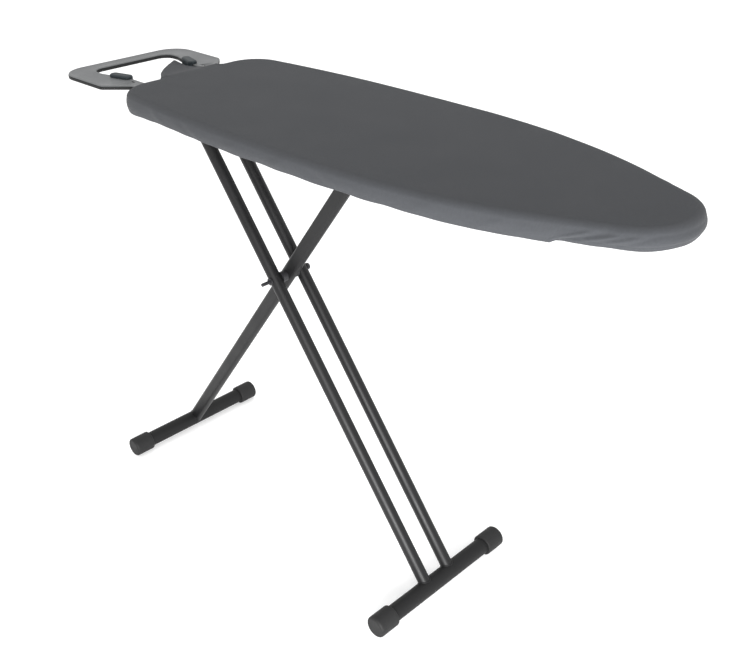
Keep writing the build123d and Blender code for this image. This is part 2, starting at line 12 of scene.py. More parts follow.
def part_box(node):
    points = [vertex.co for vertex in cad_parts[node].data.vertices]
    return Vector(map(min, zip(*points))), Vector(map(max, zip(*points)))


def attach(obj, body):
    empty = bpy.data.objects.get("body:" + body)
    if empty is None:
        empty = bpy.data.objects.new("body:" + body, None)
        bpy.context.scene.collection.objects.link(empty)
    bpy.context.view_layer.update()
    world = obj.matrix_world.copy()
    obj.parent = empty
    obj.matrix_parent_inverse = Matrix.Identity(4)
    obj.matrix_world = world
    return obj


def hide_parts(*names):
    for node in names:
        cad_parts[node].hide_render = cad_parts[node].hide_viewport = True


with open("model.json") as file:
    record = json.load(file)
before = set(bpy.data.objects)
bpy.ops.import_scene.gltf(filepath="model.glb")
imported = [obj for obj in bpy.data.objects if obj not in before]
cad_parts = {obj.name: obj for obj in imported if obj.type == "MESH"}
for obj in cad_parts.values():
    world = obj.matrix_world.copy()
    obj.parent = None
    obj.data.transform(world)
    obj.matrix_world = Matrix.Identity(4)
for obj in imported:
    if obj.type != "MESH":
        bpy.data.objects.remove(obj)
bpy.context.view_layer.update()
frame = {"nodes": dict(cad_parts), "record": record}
nodes = frame["nodes"]

MM = 0.001
FLAT_WITHIN = 2e-5
WELD_WITHIN = 0.001 * MM
SEED_STEP = 7.31
# Each kind of unevenness: its seed, and the size of its features in metres.
WAVES = {
    "puckers": (1.0, 0.034), "fine puckers": (2.0, 0.015), "slow": (3.0, 0.11),
    "swell": (4.0, 0.19), "fine swell": (5.0, 0.06), "ruffles": (6.0, 0.011),
    "fine ruffles": (7.0, 0.006), "felt": (8.0, 0.09), "pressed edge": (9.0, 0.12),
    "hem waver": (10.0, 0.045),
}
COVER_LOW, COVER_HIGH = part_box("cover")
HEEL_X = COVER_LOW.x
NOSE_X = COVER_HIGH.x
TOP_Z = COVER_HIGH.z
SKIRT_Z = COVER_LOW.z
REST_LOW, REST_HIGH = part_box("iron_rest")


# ---- Small tools ------------------------------------------------------------------------------


def smooth_step(value, start, end):
    """0 before start, 1 after end, eased between."""
    t = np.clip((value - start) / (end - start), 0.0, 1.0)
    return t * t * (3.0 - 2.0 * t)


def flat_loops(node, height):
    """The boundary loops of a CAD node's flat face at a height, longest first, as point arrays."""
    mesh = nodes[node].data
    uses = {}
    for polygon in mesh.polygons:
        corners = [mesh.vertices[i].co for i in polygon.vertices]
        if max(abs(c.z - height) for c in corners) > FLAT_WITHIN:
            continue
        keys = [(round(c.x, 6), round(c.y, 6)) for c in corners]
        for a, b in zip(keys, keys[1:] + keys[:1]):
            uses.setdefault(frozenset((a, b)), []).append((a, b))
    follow = {}
    for pairs in uses.values():
        if len(pairs) == 1:
            follow[pairs[0][0]] = pairs[0][1]
    loops = []
    while follow:
        first, current = next(iter(follow.items()))
        loop = [first]
        del follow[first]
        while current in follow:
            loop.append(current)
            current = follow.pop(current)
        loops.append(np.array(loop, float))
    return sorted(loops, key=lambda loop: -np.abs(np.diff(loop, axis=0)).sum())


def smoothed(points, spacing, soften):
    """A closed run of even points, averaged over about soften metres."""
    reach = max(1, int(round(2.5 * soften / spacing)))
    offsets = np.arange(-reach, reach + 1)
    weights = np.exp(-0.5 * (offsets * spacing / soften) ** 2)
    weights /= weights.sum()
    return sum(w * np.roll(points, -k, axis=0) for k, w in zip(offsets, weights))


def stepped(line, spacing):
    """An open run of points at even steps of about spacing, ends kept."""
    along = np.concatenate([[0.0], np.cumsum(np.linalg.norm(np.diff(line, axis=0), axis=1))])
    at = np.linspace(0.0, along[-1], max(2, int(round(along[-1] / spacing)) + 1))
    return np.stack([np.interp(at, along, line[:, k]) for k in range(2)], axis=1)


def even_outline(loop, spacing, soften):
    """A loop that mirrors in the X axis, at even steps, the same on both sides of the axis."""
    start = int(np.argmin(np.hypot(loop[:, 0] - loop[:, 0].min(), loop[:, 1])))
    loop = np.roll(loop, -start, axis=0)
    if loop[len(loop) // 4, 1] < 0:
        loop = np.roll(loop[::-1], 1, axis=0)
    side = loop[loop[:, 1] > 1e-6]
    half = stepped(np.vstack([(loop[:, 0].min(), 0.0), side, (loop[:, 0].max(), 0.0)]), spacing)
    mirrored = half[-2:0:-1] * (1.0, -1.0)
    step = np.linalg.norm(half[1] - half[0])
    return smoothed(np.vstack([half, mirrored]), step, soften)


def outward(loop):
    """Outward unit normals of a closed plan loop, whichever way it runs."""
    step = np.roll(loop, -1, axis=0) - np.roll(loop, 1, axis=0)
    normal = np.stack([step[:, 1], -step[:, 0]], axis=1)
    normal /= np.linalg.norm(normal, axis=1)[:, None]
    following = np.roll(loop, -1, axis=0)
    area = (loop[:, 0] * following[:, 1] - following[:, 0] * loop[:, 1]).sum()
    return normal if area > 0 else -normal


def wave(plan, kind):
    """Smooth noise from -1 to 1 at plan points, of one of the kinds in WAVES."""
    seed, size = WAVES[kind]
    return np.array([noise.noise(Vector((x / size, y / size, seed * SEED_STEP))) for x, y in plan])


def link(obj):
    bpy.context.scene.collection.objects.link(obj)
    return obj


def dressed(name, mesh, materials, body, smooth=True):
    """A mesh as a named piece that rides on a body, with the finishes it is given."""
    obj = link(bpy.data.objects.new(name, mesh))
    for material in materials:
        mesh.materials.append(material)
    mesh.polygons.foreach_set("use_smooth", [smooth] * len(mesh.polygons))
    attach(obj, body)
    return obj


def mesh_object(name, vertices, faces, material, body, smooth=True):
    mesh = bpy.data.meshes.new(name)
    mesh.from_pydata([tuple(v) for v in vertices], [], faces)
    mesh.validate()
    mesh.update()
    return dressed(name, mesh, (material,), body, smooth)


def ring_faces(count, rows, first=0):
    """Quads between successive closed rings of count points."""
    return [
        (first + r * count + i, first + r * count + (i + 1) % count,
         first + (r + 1) * count + (i + 1) % count, first + (r + 1) * count + i)
        for r in range(rows - 1) for i in range(count)
    ]


def weld_and_face(obj):
    """Join the points that coincide and turn the faces so that they all look out."""
    bm = bmesh.new()
    bm.from_mesh(obj.data)
    bmesh.ops.remove_doubles(bm, verts=bm.verts, dist=WELD_WITHIN)
    bmesh.ops.recalc_face_normals(bm, faces=bm.faces)
    bm.to_mesh(obj.data)
    bm.free()


# ---- Materials --------------------------------------------------------------------------------


# The Mix node's colour sockets share their names with others, so they are found by number.
MIX_FACTOR, MIX_FIRST, MIX_SECOND, MIX_RESULT = 0, 6, 7, 2
# The Wave texture repeats every tau / 20 of its space at scale 1.
WAVE_REPEAT = 20.0


class Surface:
    """A principled material and short ways to feed it from procedural textures."""

    def __init__(self, name):
        self.material = bpy.data.materials.new(name)
        self.material.use_nodes = True
        self.tree = self.material.node_tree
        self.shader = self.tree.nodes["Principled BSDF"]
        self.place = self.tree.nodes.new("ShaderNodeTexCoord").outputs["Object"]

    def node(self, kind, **settings):
        made = self.tree.nodes.new(kind)
        for key, value in settings.items():
            setattr(made, key, value)
        return made

    def wire(self, source, target):
        self.tree.links.new(source, target)

    def noise(self, scale, detail=3.0, stretch=(1.0, 1.0, 1.0)):
        mapping = self.node("ShaderNodeMapping")
        mapping.inputs["Scale"].default_value = stretch
        self.wire(self.place, mapping.inputs["Vector"])
        texture = self.node("ShaderNodeTexNoise")
        texture.inputs["Scale"].default_value = scale
        texture.inputs["Detail"].default_value = detail
        self.wire(mapping.outputs["Vector"], texture.inputs["Vector"])
        return texture.outputs["Fac"]

    def cells(self, scale):
        texture = self.node("ShaderNodeTexVoronoi", feature="SMOOTH_F1")
        texture.inputs["Scale"].default_value = scale
        self.wire(self.place, texture.inputs["Vector"])
        return texture.outputs["Distance"]

    def spread(self, source, low, high):
        """Spread a texture's middle range over low to high."""
        scaled = self.node("ShaderNodeMapRange")
        scaled.inputs["From Min"].default_value = 0.3
        scaled.inputs["From Max"].default_value = 0.7
        scaled.inputs["To Min"].default_value = low
        scaled.inputs["To Max"].default_value = high
        self.wire(source, scaled.inputs["Value"])
        return scaled.outputs["Result"]

    def maths(self, operation, a, b):
        made = self.node("ShaderNodeMath", operation=operation)
        for socket, value in zip(made.inputs, (a, b)):
            if isinstance(value, (int, float)):
                socket.default_value = value
            else:
                self.wire(value, socket)
        return made.outputs["Value"]

    def colour(self, dark, light, factor):
        mix = self.node("ShaderNodeMix", data_type="RGBA")
        mix.inputs[MIX_FIRST].default_value = (*dark, 1.0)
        mix.inputs[MIX_SECOND].default_value = (*light, 1.0)
        self.wire(factor, mix.inputs[MIX_FACTOR])
        self.wire(mix.outputs[MIX_RESULT], self.shader.inputs["Base Color"])

    def bump(self, height, distance, strength=1.0, under=None):
        made = self.node("ShaderNodeBump")
        made.inputs["Distance"].default_value = distance
        made.inputs["Strength"].default_value = strength
        self.wire(height, made.inputs["Height"])
        if under is not None:
            self.wire(under, made.inputs["Normal"])
        return made.outputs["Normal"]

    def finish(self, normal=None, **sockets):
        for name, value in sockets.items():
            self.shader.inputs[name.replace("_", " ")].default_value = value
        if normal is not None:
            self.wire(normal, self.shader.inputs["Normal"])
        return self.material


def shades(colour, amount):
    return [tuple(c * k for c in colour) for k in (1.0 - amount, 1.0 + amount)]


def woven_cloth(name, colour, pitch, melange, sheen):
    """Plain-weave cotton: threads both ways, melange flecks, broad dye variation and lint."""
    s = Surface(name)
    s.place = s.node("ShaderNodeUVMap", uv_map="weave").outputs["UV"]
    threads = []
    for direction in ("X", "Y"):
        band = s.node("ShaderNodeTexWave", wave_type="BANDS", bands_direction=direction)
        band.inputs["Scale"].default_value = tau / (WAVE_REPEAT * pitch)
        band.inputs["Distortion"].default_value = 0.6
        band.inputs["Detail Scale"].default_value = 0.4
        s.wire(s.place, band.inputs["Vector"])
        threads.append(band.outputs["Fac"])
    weave = s.maths("MULTIPLY", threads[0], threads[1])
    flecks = s.noise(1.0 / (2.2 * pitch), 4.0, (1.0, 0.35, 1.0))
    broad = s.noise(9.0, 3.0)
    tone = s.maths("ADD", s.spread(flecks, 0.0, 0.6), s.spread(broad, 0.0, 0.4))
    s.colour(*shades(colour, melange), tone)
    rough = s.spread(broad, 0.82, 0.95)
    s.wire(rough, s.shader.inputs["Roughness"])
    lint = s.bump(flecks, 0.00025, 0.5)
    normal = s.bump(weave, 0.0002, 0.6, lint)
    return s.finish(normal, Sheen_Weight=sheen, Sheen_Roughness=0.5, Specular_IOR_Level=0.2)


def needle_felt(name, colour):
    """Pressed felt: matted fibres with darker specks."""
    s = Surface(name)
    fibres = s.noise(900.0, 6.0, (1.0, 0.4, 1.0))
    clumps = s.noise(60.0, 4.0)
    s.colour(*shades(colour, 0.16), s.maths("MULTIPLY", s.spread(fibres, 0.5, 1.0), clumps))
    s.wire(s.spread(clumps, 0.86, 0.98), s.shader.inputs["Roughness"])
    return s.finish(s.bump(fibres, 0.0008, 0.8), Sheen_Weight=0.25, Specular_IOR_Level=0.15)


def powder_coat(name, colour, rough, tone=0.07):
    """Baked powder paint: fine orange peel, faint gloss patches and dust in the recesses."""
    s = Surface(name)
    patches = s.noise(14.0, 4.0)
    grain = s.noise(1400.0, 2.0)
    s.colour(*shades(colour, tone), s.maths("MULTIPLY", s.spread(grain, 0.4, 1.0), patches))
    s.wire(s.spread(patches, rough - 0.05, rough + 0.07), s.shader.inputs["Roughness"])
    normal = s.bump(s.noise(520.0, 2.0), 0.00012, 0.6, s.bump(grain, 0.00004, 0.5))
    return s.finish(normal, Specular_IOR_Level=0.26)


def moulded(name, colour, rough, grain, depth):
    """Moulded rubber or plastic: spark-eroded grain with rubbed and dusty patches."""
    s = Surface(name)
    rubbed = s.noise(45.0, 5.0)
    s.colour(*shades(colour, 0.12), s.spread(rubbed, 0.0, 1.0))
    s.wire(s.spread(rubbed, rough - 0.08, rough + 0.08), s.shader.inputs["Roughness"])
    return s.finish(s.bump(s.cells(grain), depth, 0.7), Specular_IOR_Level=0.4)


def zinc_plate(name, colour, rough):
    """Bright zinc plating with drawn lines and cloudy patches."""
    s = Surface(name)
    lines = s.noise(420.0, 3.0, (1.0, 14.0, 1.0))
    clouds = s.noise(70.0, 4.0)
    s.colour(*shades(colour, 0.1), s.spread(clouds, 0.0, 1.0))
    s.wire(s.spread(lines, rough - 0.08, rough + 0.1), s.shader.inputs["Roughness"])
    return s.finish(s.bump(lines, 0.00003, 0.6), Metallic=1.0)


COVER_COLOUR = (0.0375, 0.0395, 0.0435)
FELT_COLOUR = (0.52, 0.52, 0.5)
PANEL_GREY = (0.06, 0.06, 0.065)
CHARCOAL = (0.008, 0.008, 0.0084)
BAR_BLACK = (0.006, 0.006, 0.0063)
REST_GREY = (0.122, 0.126, 0.129)
# Near-black painted shade for the iron rest's turned-down edge, its rims and underside.
REST_PAINTED_SHADE = (0.006, 0.0063, 0.0066)
SILICONE = (0.014, 0.021, 0.025)
RUBBER = (0.0065, 0.0065, 0.0068)
BLACK = (0.02, 0.02, 0.022)
ZINC = (0.55, 0.56, 0.58)

finishes = {
    "cover_fabric": woven_cloth("cover_cotton", COVER_COLOUR, pitch=0.0011, melange=0.1, sheen=0.06),
    "felt": needle_felt("pad_felt", FELT_COLOUR),
    "panel_steel": powder_coat("panel_coat", PANEL_GREY, rough=0.45),
    "charcoal_tube": powder_coat("tube_coat", CHARCOAL, rough=0.42),
    "foot_bar_coat": powder_coat("foot_bar_coat", BAR_BLACK, rough=0.6),
    "rest_plate": powder_coat("rest_coat", REST_GREY, rough=0.42, tone=0.05),
    "silicone": moulded("rest_silicone", SILICONE, rough=0.6, grain=900.0, depth=0.00006),
    "foot_rubber": moulded("foot_rubber", RUBBER, rough=0.68, grain=700.0, depth=0.0001),
    "black_plastic": moulded("black_plastic", BLACK, rough=0.5, grain=1200.0, depth=0.00006),
    "black_steel": powder_coat("black_oxide", BLACK, rough=0.4),
    "zinc_hardware": zinc_plate("zinc_plate", ZINC, rough=0.34),
}
# Painted shade: the rest's turned-down edge, rims and underside take this near-black coat.
rest_painted_shade = powder_coat("rest_painted_shade_coat", REST_PAINTED_SHADE, rough=0.6)
for row in frame["record"]["subparts"]:
    node = nodes[row["node"]]
    node.data.materials.clear()
    node.data.materials.append(finishes[row["material_slot"]])


# ---- Camera and light -------------------------------------------------------------------------

CAMERA_PLACE = (1.1993, -1.0944, 1.4118)
CAMERA_AZIMUTH = 45.676
CAMERA_ELEVATION = 29.501
CAMERA_ROLL = -1.148
CAMERA_LENS = 47.18
SENSOR_WIDE = 36.0

WHITE = (1.0, 1.0, 1.0, 1.0)
SKY_STRENGTH = 1.08
FLOOR_HALF = 30.0
FLOOR_GLOW = 0.22
# Area lamps: name, place, target, width and height, power.
LAMPS = (
    ("overhead", (0.1, 0.3, 3.4), (0.0, 0.0, 0.4), (3.6, 3.0), 22.0),
    ("key_low", (1.7, -1.5, 0.75), (0.4, -0.1, 0.88), (1.4, 0.5), 92.0),
)


def add_camera():
    azimuth, elevation = radians(CAMERA_AZIMUTH), radians(CAMERA_ELEVATION)
    back = Vector((
        sin(azimuth) * cos(elevation), -cos(azimuth) * cos(elevation), sin(elevation)
    ))
    right = (-back).cross(Vector((0, 0, 1))).normalized()
    up = right.cross(-back)
    c, s = cos(radians(CAMERA_ROLL)), sin(radians(CAMERA_ROLL))
    data = bpy.data.cameras.new("camera")
    data.lens, data.sensor_width = CAMERA_LENS, SENSOR_WIDE
    data.clip_start, data.clip_end = 0.05, 100.0
    camera = link(bpy.data.objects.new("camera", data))
    turned = Matrix((c * right + s * up, c * up - s * right, back)).transposed()
    camera.matrix_world = Matrix.Translation(CAMERA_PLACE) @ turned.to_4x4()
    bpy.context.scene.camera = camera


def add_lamp(name, place, target, size, power):
    data = bpy.data.lights.new(name, "AREA")
    data.shape, data.size, data.size_y = "RECTANGLE", *size
    data.energy = power
    lamp = link(bpy.data.objects.new(name, data))
    lamp.location = place
    lamp.rotation_mode = "QUATERNION"
    lamp.rotation_quaternion = (Vector(target) - Vector(place)).to_track_quat("-Z", "Y")


def add_floor():
    mesh = bpy.data.meshes.new("floor")
    corners = [(x * FLOOR_HALF, y * FLOOR_HALF, 0.0) for x, y in ((-1, -1), (1, -1), (1, 1), (-1, 1))]
    mesh.from_pydata(corners, [], [(0, 1, 2, 3)])
    floor = link(bpy.data.objects.new("floor", mesh))
    s = Surface("pale_floor")
    s.colour((0.90, 0.90, 0.90), (0.94, 0.94, 0.94), s.noise(0.8, 2.0))
    s.shader.inputs["Emission Color"].default_value = WHITE
    floor.data.materials.append(s.finish(
        Roughness=0.9, Specular_IOR_Level=0.1, Emission_Strength=FLOOR_GLOW))


def add_studio():
    world = bpy.data.worlds.new("studio")
    bpy.context.scene.world = world
    world.use_nodes = True
    background = world.node_tree.nodes["Background"]
    background.inputs["Color"].default_value = WHITE
    background.inputs["Strength"].default_value = SKY_STRENGTH
    for lamp in LAMPS:
        add_lamp(*lamp)
    bpy.context.scene.view_settings.view_transform = "Standard"
    add_floor()


add_camera()
add_studio()


# ---- Cover ------------------------------------------------------------------------------------

EDGE_R = 16.0 * MM
EDGE_DEEP = 9.0 * MM
EDGE_FALL = 0.6 * MM
EDGE_FALL_WIDE = 27.0 * MM
FALL_RISES = (-0.38, -0.12)
FALL_FADES = (0.44, 0.60)
HEM_CURL = 3.0 * MM
HEM_WIDE = 27.0 * MM
CLOTH_T = 0.9 * MM
COVER_STEP = 4.0 * MM
FINE_STEP = COVER_STEP / 8
COVER_SOFT = 5.0 * MM
SPINE_HEEL = 0.15
SPINE_NOSE = 0.105
ROOT_SHARE = 0.22
TOP_SINK = 0.4 * MM
SWELL = 0.55 * MM
FINE_SWELL = 0.2 * MM

# The skirt arches over the iron rest's tongues at the heel.
OPENING_HALF = 108.0 * MM
OPENING_Z = REST_HIGH.z + 2.2 * MM
ARCH_REACH = 0.03
ARCH_ENDS = (OPENING_HALF - 6 * MM, OPENING_HALF + 4 * MM)

# The loose fold that stands out at the heel over the rest's window: millimetres out and across.
FOLD_LINE = (
    (0, -66), (16, -55), (45, -35), (96, -1.5), (119, 19), (146, 49), (171, 80), (168, 83.5), (160, 82),
    (150, 79.5), (135, 75.5), (118, 71), (100, 66.5), (85, 64.5), (60, 66.5), (20, 69.5), (0, 80),
)
FOLD_STARTS = (0.5 * MM, 14.0 * MM)
FOLD_LEVEL = 1.0 * MM
FOLD_DROP = 24.5 * MM
FOLD_REACH = 62.0 * MM
FOLD_SKIRT = 6.0 * MM
FOLD_SOFT = 7.0 * MM
FOLD_SHARPER = 0.85
FOLD_SHALLOWER = 0.6

# Creases across the skirt: side, X at the hem and at the top edge, half width, height in millimetres.
CREASES = (
    (-1, 0.535, 0.585, 0.0050, 2.6), (-1, 0.550, 0.602, 0.0045, -2.2), (-1, 0.565, 0.618, 0.0050, 2.4),
    (-1, 0.590, 0.640, 0.0050, 1.6), (-1, 0.610, 0.655, 0.0045, -1.3), (-1, 0.440, 0.480, 0.0120, 1.4),
    (-1, 0.350, 0.371, 0.0200, 1.8), (-1, 0.180, 0.150, 0.0240, -1.6), (-1, 0.060, 0.085, 0.0160, 1.5),
    (-1, -0.060, -0.030, 0.022, 1.7), (-1, -0.150, -0.180, 0.0150, -1.3), (-1, -0.245, -0.270, 0.018, 1.4),
    (-1, -0.350, -0.330, 0.0200, 1.2), (1, 0.520, 0.575, 0.0060, 2.0), (1, 0.545, 0.610, 0.0050, -1.5),
    (1, 0.300, 0.330, 0.0180, 1.5), (1, 0.070, 0.040, 0.0220, -1.4), (1, -0.190, -0.165, 0.018, 1.4),
)

# The stitched seam that shows as a groove round the nose: its depth, place down the skirt and width.
SEAM_DEEP = 1.1 * MM
SEAM_AT = 0.76
SEAM_WIDE = 0.075
SEAM_SPAN = (0.50, 0.57)

# The hem hangs lower on the near side up to a step near the nose, and at the heel's corners.
HEM_STEP = 3.6 * MM
HEM_STEP_X = 0.536
HEM_STEP_RISE = (0.2, HEM_STEP_X - 0.02)
HEM_STEP_END = (HEM_STEP_X, HEM_STEP_X + 6 * MM)
CORNER_SAG = 7.5 * MM
CORNER_SPAN = (HEEL_X + 0.045, HEEL_X + 0.165)
HEM_WAVER = 1.6 * MM

# Gathers: tighter and deeper round the nose and the heel's corners than along the sides.
GATHER = 1.25 * MM
GATHER_SIDE, GATHER_NOSE, GATHER_HEEL = 0.3, 0.5, 0.6
NOSE_SPAN = (NOSE_X - 0.24, NOSE_X - 0.03)
HEEL_SPAN = (HEEL_X + 0.01, HEEL_X + 0.12)
RUFFLE = 1.7 * MM


def cover_outline():
    """The board's outline with the loose fold let into its heel, and the fold's count of points."""
    base = even_outline(flat_loops("cover", TOP_Z)[0], COVER_STEP, COVER_SOFT)
    fold = np.array(FOLD_LINE, float) * MM * (-1.0, 1.0) + (HEEL_X, 0.0)
    x, y = base.T
    at_heel = (x < HEEL_X + 0.5 * MM) & (y > fold[0, 1]) & (y < fold[-1, 1])
    after = int(np.argmax(~at_heel & np.roll(at_heel, 1)))
    kept = np.roll(base, -after, axis=0)[: len(base) - int(at_heel.sum())]
    dense = stepped(fold, FINE_STEP)
    reach = int(FOLD_SOFT / FINE_STEP)
    padded = np.vstack([np.repeat(dense[:1], reach, 0), dense, np.repeat(dense[-1:], reach, 0)])
    kernel = np.hanning(2 * reach + 1)
    kernel = kernel / kernel.sum()
    soft = np.stack([np.convolve(padded[:, k], kernel, "valid") for k in range(2)], axis=1)
    fold = stepped(soft, COVER_STEP * 0.8)[1:-1]
    return np.vstack([kept, fold]), len(fold)


def edge_fall(plan, outline):
    """How far the felt and the cloth over it are pressed down towards the board's sides."""
    gap = np.sqrt(((plan[:, None, :] - outline[None]) ** 2).sum(axis=2)).min(axis=1)
    along = smooth_step(plan[:, 0], *FALL_RISES) * (1.0 - smooth_step(plan[:, 0], *FALL_FADES))
    uneven = 1.0 + 0.25 * wave(plan, "pressed edge")
    return EDGE_FALL * along * uneven * np.clip(1.0 - gap / EDGE_FALL_WIDE, 0.0, 1.0) ** 2


def spine_of(outline):
    """For each point of an outline, the point of the board's axis that its row of faces runs from."""
    x = np.clip(outline[:, 0], HEEL_X + SPINE_HEEL, NOSE_X - SPINE_NOSE)
    return np.stack([x, np.zeros(len(outline))], axis=1)


class Cloth:
    """The cover as closed rings of points, and where each point lies when the cloth is laid flat."""

    def __init__(self):
        self.edge, self.fold_count = cover_outline()
        self.count = len(self.edge)
        self.normal = outward(self.edge)
        self.x, self.y = self.edge.T
        self.fold_share = smooth_step(np.maximum(HEEL_X - self.x, 0.0), *FOLD_STARTS)
        self.in_arch = (self.x < HEEL_X + ARCH_REACH) * (1.0 - smooth_step(np.abs(self.y), *ARCH_ENDS))
        self.nose_share = smooth_step(self.x, *NOSE_SPAN)
        self.slow = wave(self.edge, "slow")
        self.edge_r = EDGE_R * (1.0 - FOLD_SHARPER * self.fold_share)
        self.edge_turn = EDGE_DEEP * (1.05 + 0.25 * self.slow) * (1.0 - FOLD_SHALLOWER * self.fold_share)
        self.start = self.out(-self.edge_r)
        self.lip = self.top_z(self.start)
        self.rings, self.flats = [], []

    def out(self, distance, plan=None):
        """A ring's plan, or the outline, moved out by a distance."""
        plan = self.edge if plan is None else plan
        return plan + self.normal * np.broadcast_to(distance, self.count)[:, None]

    def add(self, plan, z, flat=None):
        self.rings.append(np.column_stack([plan, z]))
        self.flats.append(plan if flat is None else flat)

    def top_z(self, plan):
        """Height of the cloth over the felt, and its fall over the rest at the loose fold."""
        swell = SWELL * wave(plan, "swell") + FINE_SWELL * wave(plan, "fine swell")
        past = np.maximum(HEEL_X - plan[:, 0] - FOLD_LEVEL, 0.0)
        fall = FOLD_DROP * (1.0 - np.exp(-past / FOLD_REACH)) + edge_fall(plan, self.edge)
        return TOP_Z - TOP_SINK + swell - fall

    def hem_z(self):
        sagging = HEM_STEP * (self.y < 0) * smooth_step(self.x, *HEM_STEP_RISE)
        sagging = sagging * (1.0 - smooth_step(self.x, *HEM_STEP_END))
        corner = (1.0 - smooth_step(self.x, *CORNER_SPAN)) * (1.0 - self.in_arch)
        waver = HEM_WAVER * wave(self.edge, "hem waver") * (1.0 - self.in_arch)
        arch = (OPENING_Z - SKIRT_Z) * self.in_arch
        return SKIRT_Z - sagging - CORNER_SAG * corner + arch - waver

    def puckers(self):
        heel_share = 1.0 - smooth_step(self.x, *HEEL_SPAN)
        gather = GATHER_SIDE + GATHER_NOSE * self.nose_share + GATHER_HEEL * heel_share * (1.0 - self.in_arch)
        uneven = wave(self.edge, "puckers") + 0.4 * wave(self.edge, "fine puckers")
        return GATHER * gather * uneven

    def creases(self, depth):
        """How far the creases push the skirt out at a depth from 0 at its top to 1 at the hem."""
        push = np.zeros(self.count)
        strength = np.sin(pi * np.clip(depth * 0.75 + 0.15, 0.0, 1.0))
        for side, x_hem, x_top, wide, high in CREASES:
            line = x_top + (x_hem - x_top) * depth
            near = np.exp(-((self.x - line) / wide) ** 2) * (self.y * side > 0)
            push += high * MM * near * strength
        groove = SEAM_DEEP * exp(-((depth - SEAM_AT) / SEAM_WIDE) ** 2) * (0.75 + 0.6 * self.slow)
        push -= groove * smooth_step(self.x, *SEAM_SPAN)
        return push * (1.0 - self.fold_share)

    def add_top(self):
        """From the spine out to where the edge starts to turn down."""
        spine = spine_of(self.edge)
        # The fold's points are rooted along the heel's straight edge, in step with their neighbours.
        root = self.start.copy()
        before, after = self.start[-self.fold_count - 1], self.start[0]
        share = (np.arange(1, self.fold_count + 1) / (self.fold_count + 1))[:, None]
        root[-self.fold_count:] = before + (after - before) * share
        root += (spine - root) * ROOT_SHARE
        inner = [root + (spine - root) * share for share in 1.0 - np.linspace(0.0, 1.0, 22)[:-1] ** 0.8]
        outer = [root + (self.start - root) * share for share in np.linspace(0.0, 1.0, 12)[:-1]]
        for plan in inner + outer:
            self.add(plan, self.top_z(plan))

    def add_edge(self):
        """The rounded edge. Laid flat, it reaches a little past the outline."""
        for angle in np.linspace(0.0, pi / 2, 8):
            plan = self.out(-(self.edge_r * (1.0 - sin(angle))))
            plan = self.out(self.creases(0.0) * sin(angle), plan)
            flat = self.out(-(self.edge_r * (1.0 - 0.83 * angle)))
            self.add(plan, self.lip - self.edge_turn * (1.0 - cos(angle)), flat)
        self.travelled = np.full(self.count, EDGE_R * 0.3)

    def add_skirt(self):
        """Down the side to where the hem starts to curl in."""
        top = self.lip - self.edge_turn
        end = self.hem_z() * (1.0 - self.fold_share) + (self.lip - FOLD_SKIRT) * self.fold_share
        end = np.minimum(end + HEM_CURL, top - 0.5 * MM)
        puckers = self.puckers()
        for depth in np.linspace(0.0, 1.0, 15)[1:]:
            z = top + (end - top) * depth
            swing = (1.2 + 1.6 * self.nose_share) * MM * sin(pi * depth) * (1.0 + self.slow)
            gathers = puckers * depth ** 1.3 * (1.0 - self.fold_share)
            pull = -1.0 * MM * depth ** 2
            plan = self.out(swing + gathers + pull + self.creases(depth))
            self.add(plan, z, self.out(self.travelled + (top - z)))
        self.travelled = self.travelled + (top - end)

    def add_curl(self):
        last = self.rings[-1]
        for angle in np.linspace(0.0, pi / 2, 5)[1:]:
            plan = self.out(-(HEM_CURL * (1.0 - cos(angle))), last[:, :2])
            self.add(plan, last[:, 2] - HEM_CURL * sin(angle), self.out(self.travelled + HEM_CURL * angle))
        self.travelled = self.travelled + HEM_CURL * pi / 2

    def add_hem(self):
        """The hem, drawn in under the rim by its elastic."""
        free = 1.0 - np.maximum(self.in_arch, self.fold_share)
        wide = (HEM_WIDE - HEM_CURL) * (0.2 + 0.8 * free)
        ruffles = wave(self.edge, "ruffles") + 0.5 * wave(self.edge, "fine ruffles")
        last = self.rings[-1]
        for step in np.linspace(0.0, 1.0, 8)[1:]:
            drawn = RUFFLE * ruffles * step ** 1.2 * free
            sag = -0.5 * MM * sin(pi * step)
            lift = 1.2 * MM * smooth_step(step, 0.75, 1.0) * free
            z = last[:, 2] + sag + drawn * 0.6 - abs(drawn) * 0.4 + lift
            self.add(self.out(-(wide * step), last[:, :2]), z, self.out(self.travelled + wide * step))


def build_cover():
    cloth = Cloth()
    cloth.add_top()
    cloth.add_edge()
    cloth.add_skirt()
    cloth.add_curl()
    cloth.add_hem()
    obj = mesh_object(
        "ironing_cover", np.vstack(cloth.rings), ring_faces(cloth.count, len(cloth.rings)),
        finishes["cover_fabric"], "board",
    )
    flat_points = np.vstack(cloth.flats)
    weave = obj.data.uv_layers.new(name="weave")
    for item in obj.data.loops:
        weave.data[item.index].uv = flat_points[item.vertex_index]
    weld_and_face(obj)
    solid = obj.modifiers.new("cloth thickness", "SOLIDIFY")
    solid.thickness, solid.offset = CLOTH_T, -1.0
    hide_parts("cover")
    return obj


cover = build_cover()


# ---- Felt pad ---------------------------------------------------------------------------------

PAD_LOW, PAD_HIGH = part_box("felt_pad")
PLATE_STEP = 6.0 * MM
PLATE_SOFT = 4.0 * MM
FELT_INSET = 5.0 * MM
# The felt's edge: millimetres in from the outline, and share of the height.
FELT_PROFILE = ((4.2, 0.0), (3.8, 0.15), (3.6, 0.4), (5.0, 0.62), (8.0, 0.85), (13.0, 1.0))


